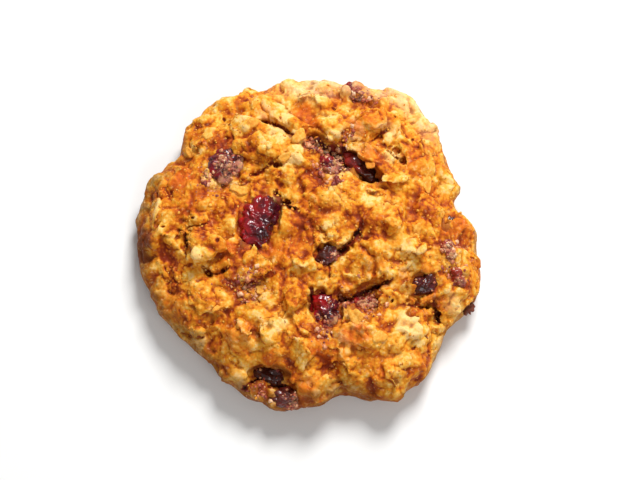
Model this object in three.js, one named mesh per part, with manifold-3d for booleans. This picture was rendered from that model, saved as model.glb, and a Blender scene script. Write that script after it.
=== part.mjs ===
// An oatmeal cookie with dried cranberries, as a scene graph of closed solids.
// Units are millimetres and +Z is up. The cookie lies on the plane Z = 0, with its middle over the origin.
// The dough is a domed, lumpy disc. Rolled oats are fused to it, clefts run between its lumps,
// and each cranberry that shows sits in a pocket of its own.
import * as THREE from "three";
import { mergeVertices } from "three/addons/utils/BufferGeometryUtils.js";
import Module from "manifold-3d";

const wasm = await Module();
wasm.setup();

// ---------- Driving dimensions ----------
const CROWN_HEIGHT = 13.2; // the dough's middle above the base, before its lumps
const WIDEST_HEIGHT = 5; // where the side stands out furthest
const CORE_BOTTOM = -0.2; // the core is closed off here, just below the underside that it is trimmed to
const BASE_SHARE = 0.92; // the core's closed bottom over the outline's radius
const MEAN_RADIUS = 36;
const CROWN_SQUARENESS = 2.7; // 2 is a plain dome, and more is flatter with a rounder shoulder
const SHOULDER_SQUARENESS = 2.1;
const CORE_DETAIL = 11; // how finely the core's ball is divided
const BASE_DETAIL_SHARE = 0.1; // the bottom takes few of the core's triangles

// The underside rises a little from a flat square foot, on whose corners the cookie stands.
const FOOT_CORNER = 26; // from the middle to a corner of the foot
const FOOT_TURN = 0.5; // radians
const UNDERSIDE_REACH = 56; // from the middle to a corner where the underside has risen by UNDERSIDE_RISE
const UNDERSIDE_RISE = 0.5;
const TRIM_HEIGHT = 30; // above everything

// The outline seen from above: [degrees from +X, millimetres from the middle] at each bulge and dent.
const OUTLINE = [
  [0, 35.5], [14, 32.2], [30, 34.8], [42, 37.1], [53, 38.4], [66, 37.7], [80, 36.0], [104, 35.8], [122, 36.3],
  [138, 35.5], [150, 32.2], [158, 35.7], [176, 36.4], [198, 33.7], [210, 33.7], [222, 31.6], [240, 33.1],
  [260, 34.8], [271, 34.0], [280, 31.7], [290, 34.6], [301, 37.9], [311, 36.7], [328, 33.7], [340, 36.9],
  [350, 37.0],
];

// Broad swells and hollows of the crown: x, y, radius and height.
const SWELLS = [
  [8.5, -2.5, 8.5, 2.0], [-9.5, 20, 7, 1.3], [-19.5, -3, 6, 1.4], [2, 7.5, 7, 1.0],
  [20, 5, 8, 1.0], [-4, -21, 9, 0.9], [17, -27, 7, 0.9], [-15, -16, 7, 0.6],
  [20, 20, 6, 0.8], [4, 27, 6, 0.8], [-25, 9, 5, 0.9], [6, 16, 4.5, -1.6],
  [11, -12.5, 5.5, -2.4], [-7, 9.5, 4.5, -0.9], [24, -14.5, 4.5, -1.2], [-8, -29, 4, -0.8],
  [-12, -10.5, 4, -0.7],
];

// Lumps of dough at two sizes: cell size and height.
const LUMPS = [
  [9.0, 2.3],
  [4.4, 0.8],
];
const LUMP_FADE_HEIGHT = 2.5; // lumps die out this far above the base, so that it stays flat
const LUMP_LEVEL = 0.6; // the share of a lump's height that lies below the plain dome
const CREASE_WIDTH = 0.4; // of the crease between two lumps, over the cell size
const CREASE_SHARE = 0.55; // of a lump's height that its crease takes up
const ROUND_SHARE = 0.45; // and that its rounding takes up
const CELL_MARGIN = 0.15; // how near to its cell's edge a lump's middle can lie
const CELL_SPREAD = 0.7;

// Open clefts between lumps: width, depth and the line that they follow.
const CLEFTS = [
  { width: 2.4, depth: 2.6, path: [[-9.5, 25.8], [-6.8, 24.3], [-3.4, 21.9]] },
  { width: 1.8, depth: 2.2, path: [[-12.5, 12.2], [-9.5, 13.9], [-4.7, 15.6]] },
  { width: 2.2, depth: 4.0, path: [[-5.6, 9.4], [-2.6, 6.0]] },
  { width: 1.5, depth: 3.4, path: [[-21.4, 2.2], [-25.2, 1.6], [-25.1, -3.8]] },
  { width: 1.8, depth: 3.4, path: [[-21.6, -6.8], [-19.3, -8.1], [-16.6, -7.0]] },
  { width: 1.5, depth: 3.2, path: [[2.0, 0.6], [3.7, -3.2]] },
  { width: 1.2, depth: 3.2, path: [[4.1, -6.2], [4.6, -9.2]] },
  { width: 1.7, depth: 3.6, path: [[5.9, -3.4], [8.7, -2.7], [10.6, 1.0]] },
  { width: 3.6, depth: 4.4, path: [[4.2, -12.4], [9.2, -12.6], [15.6, -9.2]] },
  { width: 2.0, depth: 4.0, path: [[0.8, -11.4], [1.1, -15.4]] },
  { width: 2.6, depth: 3.2, path: [[20.0, -12.4], [24.4, -13.8], [27.0, -13.2]] },
  { width: 1.9, depth: 4.4, path: [[26.6, -12.8], [27.6, -17.2]] },
  { width: 4.4, depth: 4.2, path: [[-11.6, -28.8], [-7.4, -28.0], [-3.6, -30.6]] },
  { width: 3.0, depth: 4.2, path: [[0.4, 21.6], [3.8, 19.9], [7.4, 17.8]] },
  { width: 4.2, depth: 4.4, path: [[5.6, 18.6], [10.2, 15.2], [14.2, 12.2]] },
  { width: 2.2, depth: 3.0, path: [[17.6, 19.6], [20.4, 15.8]] },
  { width: 2.6, depth: 2.8, path: [[13.6, 21.2], [16.6, 23.2]] },
  { width: 1.5, depth: 2.4, path: [[-28.2, -7.4], [-24.6, -10.0]] },
  { width: 1.5, depth: 2.4, path: [[-26.4, -18.6], [-21.8, -20.3]] },
];
const CLEFT_OVERRUN = 0.45; // how far a stretch runs past both its ends, over its width

// Dried cranberries. size is length, width and thickness. A crown berry's rise is its top above the crust,
// below zero down in a cleft. A rim berry's z is its middle above the base.
const BERRIES = [
  { name: "cranberry_glossy", at: [-9.9, 2.9], size: [12.6, 8.2, 7], turn: 70, rise: 2.0, detail: 3 },
  { name: "cranberry_dusty", at: [-17.0, 15.4], size: [8.6, 7.8, 6.5], turn: 60, rise: 1.5, detail: 3 },
  { name: "cranberry_red", at: [3.7, -15.2], size: [8.6, 6.0, 5.6], turn: 112, rise: -0.5, detail: 3 },
  { name: "cranberry_folded", at: [11.1, 15.2], size: [10.0, 3.6, 4.4], turn: 135, rise: -1.4, detail: 3 },
  { name: "cranberry_crumbed", at: [4.6, 15.5], size: [5.4, 4.0, 4.8], turn: 130, rise: -0.6, detail: 1 },
  { name: "cranberry_middle", at: [4.0, -4.3], size: [5.4, 4.2, 4.6], turn: 20, rise: -1.2, detail: 2 },
  { name: "cranberry_red_side", at: [12.4, -13.6], size: [6.8, 3.8, 4.4], turn: 165, rise: -1.0, detail: 2 },
  { name: "cranberry_dark", at: [24.2, -9.6], size: [5.6, 4.4, 4.8], turn: 38, rise: 0.6, detail: 2 },
  { name: "cranberry_small", at: [31.0, -8.0], size: [4.6, 3.6, 4.2], turn: 110, rise: 0.5, detail: 1 },
  { name: "cranberry_upper", at: [29.4, 3.2], size: [4.6, 3.2, 4.2], turn: 60, rise: 0.3, detail: 1 },
  { name: "cranberry_pink", at: [28.8, -2.6], size: [4.8, 3.0, 4.0], turn: 100, rise: 0.3, detail: 1 },
  { name: "cranberry_black", at: [-7.8, -28.2], size: [7.2, 3.8, 4.4], turn: 165, rise: -1.5, detail: 2 },
  { name: "cranberry_stain", at: [-11.4, -11.6], size: [4.8, 3.6, 4.0], turn: 130, rise: -0.3, detail: 1 },
  { name: "cranberry_front", at: [-4.4, -32.8], z: 5.6, size: [6.0, 4.4, 5.2], turn: 10, detail: 2 },
  { name: "cranberry_back", at: [10.2, 31.6], z: 9.0, size: [6.2, 4.6, 4.8], turn: 160, detail: 2 },
  { name: "cranberry_edge_back", at: [4.2, 33.6], z: 4.6, size: [4.6, 3.0, 3.4], turn: 170, detail: 1 },
  { name: "cranberry_edge_right", at: [24.3, 26.2], z: 4.8, size: [5.2, 3.4, 3.6], turn: 128, detail: 1 },
  { name: "cranberry_edge_low", at: [32.9, -12.2], z: 3.8, size: [5.4, 4.0, 3.6], turn: 112, detail: 1 },
];
// Wrinkles of a dried berry: how deep they are over its radius, how many, and how they twist along it.
const FOLDS = [
  { depth: 0.1, count: 4, twist: 2.2, turn: 1 },
  { depth: 0.06, count: 7, twist: -3, turn: 2 },
];
const POCKET_GAP = 0.65; // between a berry's outermost folds and the dough round it
const POCKET_MOUTH = 3; // a crown pocket's top over its berry's, so that it opens through the crust

// Rolled oats: length, width over length, and thickness.
const OAT_LENGTH = [5.0, 7.8];
const OAT_WIDTH_SHARE = 0.78;
const OAT_THICKNESS = 1.1;
const OAT_SINK = 0.15; // how far the middle of a crown flake lies below the crust
const SIDE_OAT_SINK = 0.45;
const OAT_SIDES = 7;
const OAT_TOP_SHARE = 0.78; // a flake's upper face over its lower one
const OAT_TILT = 0.3; // how far a flake's lean departs from the crust's own slope
const CROWN_OATS = 70;
const CROWN_OAT_CLEARANCE = 1.6; // between a flake's middle and a cleft or berry
const CROWN_OAT_REACH = 33; // the crown's flakes reach this far from the middle
const SIDE_OATS = 20;
const SIDE_OAT_CLEARANCE = 1.0;
const SIDE_OAT_HEIGHTS = [3.4, 8.4];
const GOLDEN_ANGLE = Math.PI * (3 - Math.sqrt(5));

const DOUGH_COLOUR = 0xd9973f;
const DOUGH_ROUGHNESS = 0.85;
const BERRY_COLOUR = 0x5a1620;
const BERRY_ROUGHNESS = 0.35;

// ---------- Small helpers ----------
// A repeatable number from 0 to 1 for each whole or broken number.
function chance(n) {
  const s = Math.sin(n * 12.9898 + 4.1414) * 43758.5453;
  return s - Math.floor(s);
}

const mix = (a, b, share) => a + (b - a) * share;

// A ball of unit directions with shared vertices.
function ballOfDirections(detail) {
  const ball = new THREE.IcosahedronGeometry(1, detail);
  ball.deleteAttribute("normal");
  ball.deleteAttribute("uv");
  return mergeVertices(ball, 1e-5);
}

// A geometry with each of its points moved by a rule.
function reshape(geometry, rule) {
  const positions = geometry.attributes.position;
  const point = new THREE.Vector3();
  for (let i = 0; i < positions.count; i++) {
    rule(point.fromBufferAttribute(positions, i));
    positions.setXYZ(i, point.x, point.y, point.z);
  }
  return geometry;
}

function solidFrom(geometry) {
  geometry.deleteAttribute("normal");
  geometry.deleteAttribute("uv");
  const closed = mergeVertices(geometry, 1e-4);
  return new wasm.Manifold(
    new wasm.Mesh({
      numProp: 3,
      vertProperties: new Float32Array(closed.attributes.position.array),
      triVerts: new Uint32Array(closed.index.array),
    }),
  );
}

function geometryFrom(solid) {
  const { vertProperties, triVerts } = solid.getMesh();
  return new THREE.BufferGeometry()
    .setAttribute("position", new THREE.BufferAttribute(vertProperties, 3))
    .setIndex(new THREE.BufferAttribute(triVerts, 1));
}

// ---------- The dough's core ----------
// The outline's radius at an angle in degrees, smooth between its named bulges and dents.
function outlineRadius(degrees) {
  const turn = ((degrees % 360) + 360) % 360;
  const next = OUTLINE.findIndex(([angle]) => angle > turn);
  const [a1, r1] = next < 0 ? [OUTLINE[0][0] + 360, OUTLINE[0][1]] : OUTLINE[next];
  const [a0, r0] = OUTLINE[(next < 0 ? OUTLINE.length : next) - 1];
  return mix(r0, r1, THREE.MathUtils.smoothstep(turn, a0, a1));
}

// The cross-section as [radius over the outline's, height]. Its three stretches are the crown down to the
// widest point (0 to 1), the side's lower curve (1 to 2) and the bottom in to the middle (2 to 3).
function sectionAt(t) {
  if (t <= 1) {
    const a = (t * Math.PI) / 2;
    const rise = Math.pow(Math.max(Math.cos(a), 0), 2 / SHOULDER_SQUARENESS);
    return [Math.pow(Math.sin(a), 2 / CROWN_SQUARENESS), mix(WIDEST_HEIGHT, CROWN_HEIGHT, rise)];
  }
  if (t <= 2) {
    const a = ((t - 1) * Math.PI) / 2;
    return [mix(BASE_SHARE, 1, Math.cos(a)), mix(WIDEST_HEIGHT, CORE_BOTTOM, Math.sin(a))];
  }
  return [BASE_SHARE * (3 - t), CORE_BOTTOM];
}

// The section cut into short steps, each with the share of the surface that lies above it.
const SECTION_STEPS = 300;
const section = [];
{
  let area = 0;
  let [r0, z0] = sectionAt(0);
  for (let i = 0; i <= SECTION_STEPS; i++) {
    const t = (3 * i) / SECTION_STEPS;
    const [r, z] = sectionAt(t);
    const length = Math.hypot((r - r0) * MEAN_RADIUS, z - z0);
    area += length * (r + r0) * (t > 2 ? BASE_DETAIL_SHARE : 1);
    section.push({ r, z, area });
    [r0, z0] = [r, z];
  }
  for (const step of section) step.share = step.area / area;
}

// The section's point and outward normal where a given share of the surface lies above it.
function sectionByShare(share) {
  let i = section.findIndex((step) => step.share >= share);
  i = Math.min(Math.max(i, 1), SECTION_STEPS);
  const [from, to] = [section[i - 1], section[i]];
  const part = THREE.MathUtils.clamp((share - from.share) / (to.share - from.share || 1), 0, 1);
  const [dr, dz] = [(to.r - from.r) * MEAN_RADIUS, to.z - from.z];
  const length = Math.hypot(dr, dz) || 1;
  return { r: mix(from.r, to.r, part), z: mix(from.z, to.z, part), out: -dz / length, up: dr / length };
}

// Rounded lumps with a crease between neighbours, from 0 in the creases to 1 on the lumps.
function lumps(point, cell) {
  const grid = [point.x, point.y, point.z].map((v) => v / cell);
  const home = grid.map(Math.floor);
  let near = 9;
  let second = 9;
  for (let dx = -1; dx <= 1; dx++)
    for (let dy = -1; dy <= 1; dy++)
      for (let dz = -1; dz <= 1; dz++) {
        const cellAt = [home[0] + dx, home[1] + dy, home[2] + dz];
        const seed = cellAt[0] * 57.3 + cellAt[1] * 131.7 + cellAt[2] * 311.1 + cell;
        const middle = cellAt.map((c, axis) => c + CELL_MARGIN + CELL_SPREAD * chance(seed + axis * 7.7));
        const distance = Math.hypot(...middle.map((v, axis) => v - grid[axis]));
        second = Math.min(second, Math.max(distance, near));
        near = Math.min(near, distance);
      }
  const crease = THREE.MathUtils.smoothstep(second - near, 0, CREASE_WIDTH);
  return CREASE_SHARE * crease + ROUND_SHARE * (1 - near * near);
}

function swellAt(x, y) {
  return SWELLS.reduce((sum, [sx, sy, radius, height]) => {
    const apart = Math.hypot(x - sx, y - sy) / radius;
    return sum + height * Math.exp(-apart * apart);
  }, 0);
}

function doughCore() {
  return reshape(ballOfDirections(CORE_DETAIL), (p) => {
    const angle = Math.atan2(p.y, p.x);
    const { r, z, out, up } = sectionByShare((1 - p.z) / 2);
    const radius = r * outlineRadius(THREE.MathUtils.radToDeg(angle));
    p.set(Math.cos(angle) * radius, Math.sin(angle) * radius, z);
    const fade = THREE.MathUtils.smoothstep(z, 0, LUMP_FADE_HEIGHT);
    const relief = LUMPS.reduce((sum, [cell, height]) => sum + height * (lumps(p, cell) - LUMP_LEVEL), 0);
    const push = fade * (relief + Math.max(up, 0) * swellAt(p.x, p.y));
    p.x += Math.cos(angle) * out * push;
    p.y += Math.sin(angle) * out * push;
    p.z += up * push;
  });
}

// ---------- What is dropped on the crust ----------
const core = new THREE.Mesh(doughCore(), new THREE.MeshBasicMaterial({ side: THREE.DoubleSide }));
core.geometry.computeBoundingSphere();
const FROM_ABOVE = 40;
const ray = new THREE.Raycaster();

// Where a ray meets the bare core, as its point and normal.
function touch(from, direction) {
  ray.set(from, direction.normalize());
  const hit = ray.intersectObject(core)[0];
  return { point: hit.point, normal: hit.face.normal.clone() };
}

const touchFromAbove = (x, y) => touch(new THREE.Vector3(x, y, FROM_ABOVE), new THREE.Vector3(0, 0, -1));

function distanceToPath(x, y, path) {
  const here = new THREE.Vector2(x, y);
  return path.slice(1).reduce((least, end, i) => {
    const a = new THREE.Vector2(...path[i]);
    const along = new THREE.Vector2(...end).sub(a);
    const share = THREE.MathUtils.clamp(here.clone().sub(a).dot(along) / along.lengthSq(), 0, 1);
    return Math.min(least, here.distanceTo(a.addScaledVector(along, share)));
  }, Infinity);
}

// Whether a flake here would leave the clefts and berries in view.
function clearOfFeatures(x, y, clearance) {
  const offBerry = ({ at, size }) => Math.hypot(x - at[0], y - at[1]) > size[1] / 2 + clearance;
  const offCleft = ({ path, width }) => distanceToPath(x, y, path) > width / 2 + clearance;
  return BERRIES.every(offBerry) && CLEFTS.every(offCleft);
}

// ---------- Clefts ----------
// One stretch of a cleft is a long, narrow, eight-sided wedge, widest at the crust.
function cleftSolids({ width, depth, path }) {
  return path.slice(1).map(([x1, y1], i) => {
    const [x0, y0] = path[i];
    const middle = touchFromAbove((x0 + x1) / 2, (y0 + y1) / 2).point;
    const length = Math.hypot(x1 - x0, y1 - y0);
    const wedge = new THREE.OctahedronGeometry(1, 1)
      .scale(length / 2 + width * CLEFT_OVERRUN, width / 2, depth)
      .rotateZ(Math.atan2(y1 - y0, x1 - x0))
      .translate(middle.x, middle.y, middle.z);
    return solidFrom(wedge);
  });
}

// ---------- Rolled oats ----------
function oatSolid(seed, { point, normal }, sink) {
  const length = mix(...OAT_LENGTH, chance(seed));
  const width = length * mix(OAT_WIDTH_SHARE, 1, chance(seed + 0.31) * 0.5);
  const flake = new THREE.CylinderGeometry(OAT_TOP_SHARE, 1, 1, OAT_SIDES)
    .rotateX(Math.PI / 2)
    .scale(length / 2, width / 2, OAT_THICKNESS)
    .rotateZ(chance(seed + 0.57) * 2 * Math.PI);
  const lean = new THREE.Vector3(chance(seed + 0.13) - 0.5, chance(seed + 0.79) - 0.5, 0);
  const facing = normal.clone().addScaledVector(lean, 2 * OAT_TILT).normalize();
  flake.applyQuaternion(new THREE.Quaternion().setFromUnitVectors(new THREE.Vector3(0, 0, 1), facing));
  const middle = point.clone().addScaledVector(normal, -sink);
  return solidFrom(flake.translate(middle.x, middle.y, middle.z));
}

// Flakes over the crown follow a sunflower's spiral, so that they are spread evenly.
function crownOats() {
  const oats = [];
  for (let i = 0; i < CROWN_OATS; i++) {
    const angle = i * GOLDEN_ANGLE;
    const out = CROWN_OAT_REACH * Math.sqrt((i + 0.5) / CROWN_OATS);
    const [x, y] = [out * Math.cos(angle), out * Math.sin(angle)];
    if (!clearOfFeatures(x, y, CROWN_OAT_CLEARANCE)) continue;
    oats.push(oatSolid(i, touchFromAbove(x, y), OAT_SINK));
  }
  return oats;
}

function sideOats() {
  const oats = [];
  for (let i = 0; i < SIDE_OATS; i++) {
    const angle = ((i + 0.5 * chance(i + 900)) * 2 * Math.PI) / SIDE_OATS;
    const height = mix(...SIDE_OAT_HEIGHTS, chance(i + 950));
    const inward = new THREE.Vector3(-Math.cos(angle), -Math.sin(angle), 0);
    const outside = inward.clone().multiplyScalar(-2 * CROWN_OAT_REACH).setZ(height);
    const met = touch(outside, inward);
    if (!clearOfFeatures(met.point.x, met.point.y, SIDE_OAT_CLEARANCE)) continue;
    oats.push(oatSolid(i + 500, met, SIDE_OAT_SINK));
  }
  return oats;
}

// ---------- Cranberries ----------
// An ellipsoid of the berry's size in its place, with its skin moved by a rule.
function berryForm({ at, size, turn, rise, z }, detail, rule) {
  const [rx, ry, rz] = size.map((s) => s / 2);
  const middle = z ?? touchFromAbove(...at).point.z + rise - rz;
  return reshape(ballOfDirections(detail), (p) => {
    const direction = p.clone();
    p.multiply(new THREE.Vector3(rx, ry, rz));
    rule(p, direction);
  })
    .rotateZ(THREE.MathUtils.degToRad(turn))
    .translate(at[0], at[1], middle);
}

// A dried berry, whose skin folds in along its length.
function berryGeometry(berry, index) {
  return berryForm(berry, berry.detail, (p, direction) => {
    const round = Math.atan2(direction.z, direction.y);
    const inward = FOLDS.reduce((sum, { depth, count, twist, turn }) => {
      const phase = count * round + twist * direction.x + turn * index;
      return sum + depth * (Math.sin(phase) - 1);
    }, 0);
    p.multiplyScalar(1 + inward * (1 - direction.x * direction.x));
  });
}

// The room that a berry takes up in the dough, drawn out upwards over a crown berry.
function pocketSolid(berry) {
  const mouth = berry.z ? 0 : POCKET_MOUTH;
  const room = berryForm(berry, Math.max(1, berry.detail - 2), (p, direction) => {
    p.addScaledVector(direction, POCKET_GAP);
    p.z += mouth * Math.max(direction.z, 0);
  });
  return solidFrom(room);
}

// ---------- The whole cookie ----------
// Only the largest closed surface is kept, which drops loose scraps and fills sealed hollows.
function largestBody(solid) {
  return solid.decompose().reduce((best, body) => (body.volume() > best.volume() ? body : best));
}

// All the room above the underside.
function undersideTrim() {
  const profile = [
    [0, 0],
    [FOOT_CORNER, 0],
    [UNDERSIDE_REACH, UNDERSIDE_RISE],
    [UNDERSIDE_REACH, TRIM_HEIGHT],
    [0, TRIM_HEIGHT],
  ];
  const room = new THREE.LatheGeometry(profile.map(([r, z]) => new THREE.Vector2(r, z)), 4, FOOT_TURN);
  return solidFrom(room.rotateX(Math.PI / 2));
}

function doughSolid() {
  const bare = solidFrom(core.geometry.clone());
  const cracked = CLEFTS.flatMap(cleftSolids).reduce((sum, cut) => sum.subtract(cut), bare);
  const withOats = [...crownOats(), ...sideOats()].reduce((sum, oat) => sum.add(oat), cracked);
  const pockets = BERRIES.map(pocketSolid);
  const pocketed = pockets.reduce((sum, pocket) => sum.subtract(pocket), withOats);
  return largestBody(pocketed.intersect(undersideTrim()));
}

function named(name, geometry, material) {
  const mesh = new THREE.Mesh(geometry, material);
  mesh.name = name;
  return mesh;
}

function facetedMaterial(color, roughness) {
  return new THREE.MeshStandardMaterial({ color, roughness, flatShading: true });
}

const doughMaterial = facetedMaterial(DOUGH_COLOUR, DOUGH_ROUGHNESS);
const berryMaterial = facetedMaterial(BERRY_COLOUR, BERRY_ROUGHNESS);

const cookie = new THREE.Group();
cookie.add(named("dough", geometryFrom(doughSolid()), doughMaterial));
BERRIES.forEach((berry, i) => cookie.add(named(berry.name, berryGeometry(berry, i), berryMaterial)));

export default cookie;
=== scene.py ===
"""An oatmeal cookie with dried cranberries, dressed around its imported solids.

Shapes are worked out in millimetres, in the solids' own frame, and become metres when a piece is made.
The crust is one skin of dough, rolled oats and granules. Loose oats, crumbs and berries are pieces of
their own.
"""
import math

import bmesh
import bpy
import numpy as np
from mathutils import Matrix, Vector, noise
from mathutils.bvhtree import BVHTree
from mathutils.kdtree import KDTree


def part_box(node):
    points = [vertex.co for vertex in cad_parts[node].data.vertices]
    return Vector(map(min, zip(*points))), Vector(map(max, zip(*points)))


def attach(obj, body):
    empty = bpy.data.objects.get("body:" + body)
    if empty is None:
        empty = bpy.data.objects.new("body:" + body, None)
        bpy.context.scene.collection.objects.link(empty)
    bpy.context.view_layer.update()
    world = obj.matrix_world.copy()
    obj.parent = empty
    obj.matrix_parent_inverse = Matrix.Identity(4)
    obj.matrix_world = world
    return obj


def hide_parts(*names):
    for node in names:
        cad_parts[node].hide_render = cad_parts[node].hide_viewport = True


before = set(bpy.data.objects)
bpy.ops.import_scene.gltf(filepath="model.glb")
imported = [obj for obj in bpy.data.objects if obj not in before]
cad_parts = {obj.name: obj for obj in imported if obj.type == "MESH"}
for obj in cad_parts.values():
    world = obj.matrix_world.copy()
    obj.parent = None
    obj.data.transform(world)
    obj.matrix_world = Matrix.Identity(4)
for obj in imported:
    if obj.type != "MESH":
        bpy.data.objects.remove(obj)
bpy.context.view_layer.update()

MM = 0.001
SEED = 11

# ---------- The photograph's view ----------
PHOTO_WIDTH = 640
PHOTO_CENTRE = (320, 240)
COOKIE_PIXEL = (307.5, 245)  # where the photograph shows the point COOKIE_POINT
COOKIE_POINT = (0, 0, 5)  # millimetres
MM_PER_PIXEL = 0.2087
CAMERA_ELEVATION = math.radians(75)
LENS = 135
SENSOR = 36
FLOOR_REACH = 3000
KEY_LIGHT = {"place": (135, 385, 455), "size": 250, "power": 4.35}
FILL_LIGHT = {"place": (200, -420, 500), "size": 400, "power": 1.2}
SKY_LIGHT = 0.31

# ---------- The crust ----------
BASE_VOXEL = 0.6
BASE_SMOOTHING = 4
CRUST_VOXEL = 0.32
CRUST_TRIANGLES = 190_000
PUFFS = [(7.0, 0.9), (3.4, 0.5), (1.5, 0.2)]  # uneven puffs of the dough: size and height, in millimetres
GRAINS = (0.9, 0.1)  # granules in its skin: size and height
SKIN_LEVEL = 0.12  # how far the skin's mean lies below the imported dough
FOOT_FADE = 1.6  # the relief dies out from this height down to the underside
UNDERSIDE_PITS = 0.35
OUTLINE_SECTORS = 180
OUTLINE_MARGIN = 0.1
OVERHANG = 0.15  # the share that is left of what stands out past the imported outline
SIDE_RELIEF = 0.3  # the side's relief over the crown's
SOFT_OATS = 130
SOFT_OAT_LENGTH = (3.6, 7.2)
RIM_SLOPE, RIM_REACH = 0.6, 1.9  # where the crust is steeper than this, only smaller oats lie
LOWEST_SOFT_OAT, SOFT_OAT_HOLLOW = 1.8, 0.5  # their least height, and the deepest hollow they lie in
GRANULES = 1100
GRANULE_SIZE = (0.8, 2.4)
LOWEST_GRANULE, GRANULE_HOLLOW = 1.2, 1.0
BERRY_SWELL, RIM_BERRY_SWELL = 0.4, 0.0  # how far a berry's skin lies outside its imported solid
BERRY_FOLDS = ((2.0, 0.45, 0.3, 1.5), (0.9, 0.35, 0.2, 0.5))  # size, highest noise, mean noise and height
PLUG, RIM_PLUG = 1.35, 0.9  # the size of the dough that fills a pocket, over its berry's
COLLAR_TRIES = 3000
COLLAR_REACH = (0.5, 1.3)  # how near to a berry the lumps round it lie
COLLAR_SIZE = (1.0, 2.6)
LOWEST_COLLAR = 3
COLLAR_OVERLAP = 0.14  # the share that stays of the lumps that would lie over a berry
BANK_LUMPS = 1.8  # for each millimetre of a crack
BANK_OFFSET = (0.3, 1.1)  # how far from a crack's edge the lumps along it lie
BANK_SIZE = (0.9, 2.2)
BANK_REACH, BANK_SINK = 1.5, 0.4  # where the crust beside a lump is measured, and its sunken share
OATS = 5
OAT_LENGTH = (2.4, 4.0)
LOWEST_OAT = 10  # loose oats lie only above this height
CRUMBS = 1300
CRUMB_SIZE = (0.35, 0.9)
LOWEST_CRUMB = 4  # and crumbs above this one
BERRY_CRUMBS = 300  # on a berry that is coated all over
BERRY_CRUMB_SIZE = (0.4, 1.2)
CRACK_CRUMBS = 2.2  # for each millimetre of a crack
STAINED_CRUMBS = 7  # for each square millimetre
STAINED_CRUMB_SIZE = (0.5, 1.8)
GROUND_ROUNDS = 60  # how far the dough is evened out to tell its hollows
RELIEF_ROUNDS = {"fine": 4, "mid": 14, "broad": 40}  # and the skin, for the painted shade in its hollows and painted light on its rises
PUFF_MEAN = 0.45  # the mean height of puffs and of grains
SPOT_TRIES = 14
UP = np.array([0.0, 0.0, 1.0])
DOWN = Vector((0, 0, -1))
SKY = 40  # a height above everything, from which rays are cast down
TWIST = Matrix.Rotation(0.9, 3, Vector((1, 2, 3)))  # how the grid of the noise is turned

# Thick lumps that stand above the crust: x, y, length, width and turn in degrees.
LUMPS = [
    (14.2, 17.4, 8.8, 5.2, -25), (9.5, -20.9, 6.4, 5.4, -10), (13.7, 24.9, 6.4, 4.8, 20),
    (-20.8, -2.8, 7.8, 6.6, 70), (-26.0, 12.4, 5.4, 4.8, 30),
]

# Flakes that are baked into it.
FLAKES = [
    (20.8, -18.7, 5.4, 5.0, 60), (29.2, -13.4, 5.6, 4.6, 80), (17.6, 23.4, 5.2, 4.2, 20),
    (16.0, 5.0, 5.6, 4.2, 0), (31.4, 2.9, 4.8, 3.6, -45), (-5.7, -19.0, 5.0, 3.2, 10),
]

# Smaller ones that lie clear on it.
NUBS = [
    (-1.8, 21.2, 3.4, 2.6, 0), (-4.7, 16.3, 2.7, 2.1, 80), (-20.8, 22.5, 2.6, 2.4, 0),
    (-9.5, -11.2, 2.4, 2.1, 0), (9.9, -17.2, 4.2, 2.5, 5), (-14.1, 9.8, 3.6, 2.1, -45),
    (14.7, -21.3, 2.6, 3.2, 20), (-8.5, -29.3, 2.5, 1.8, 15), (-24.5, 18.9, 2.4, 1.9, 30),
    (-18.6, -15.4, 2.2, 1.0, -40),
]

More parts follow.
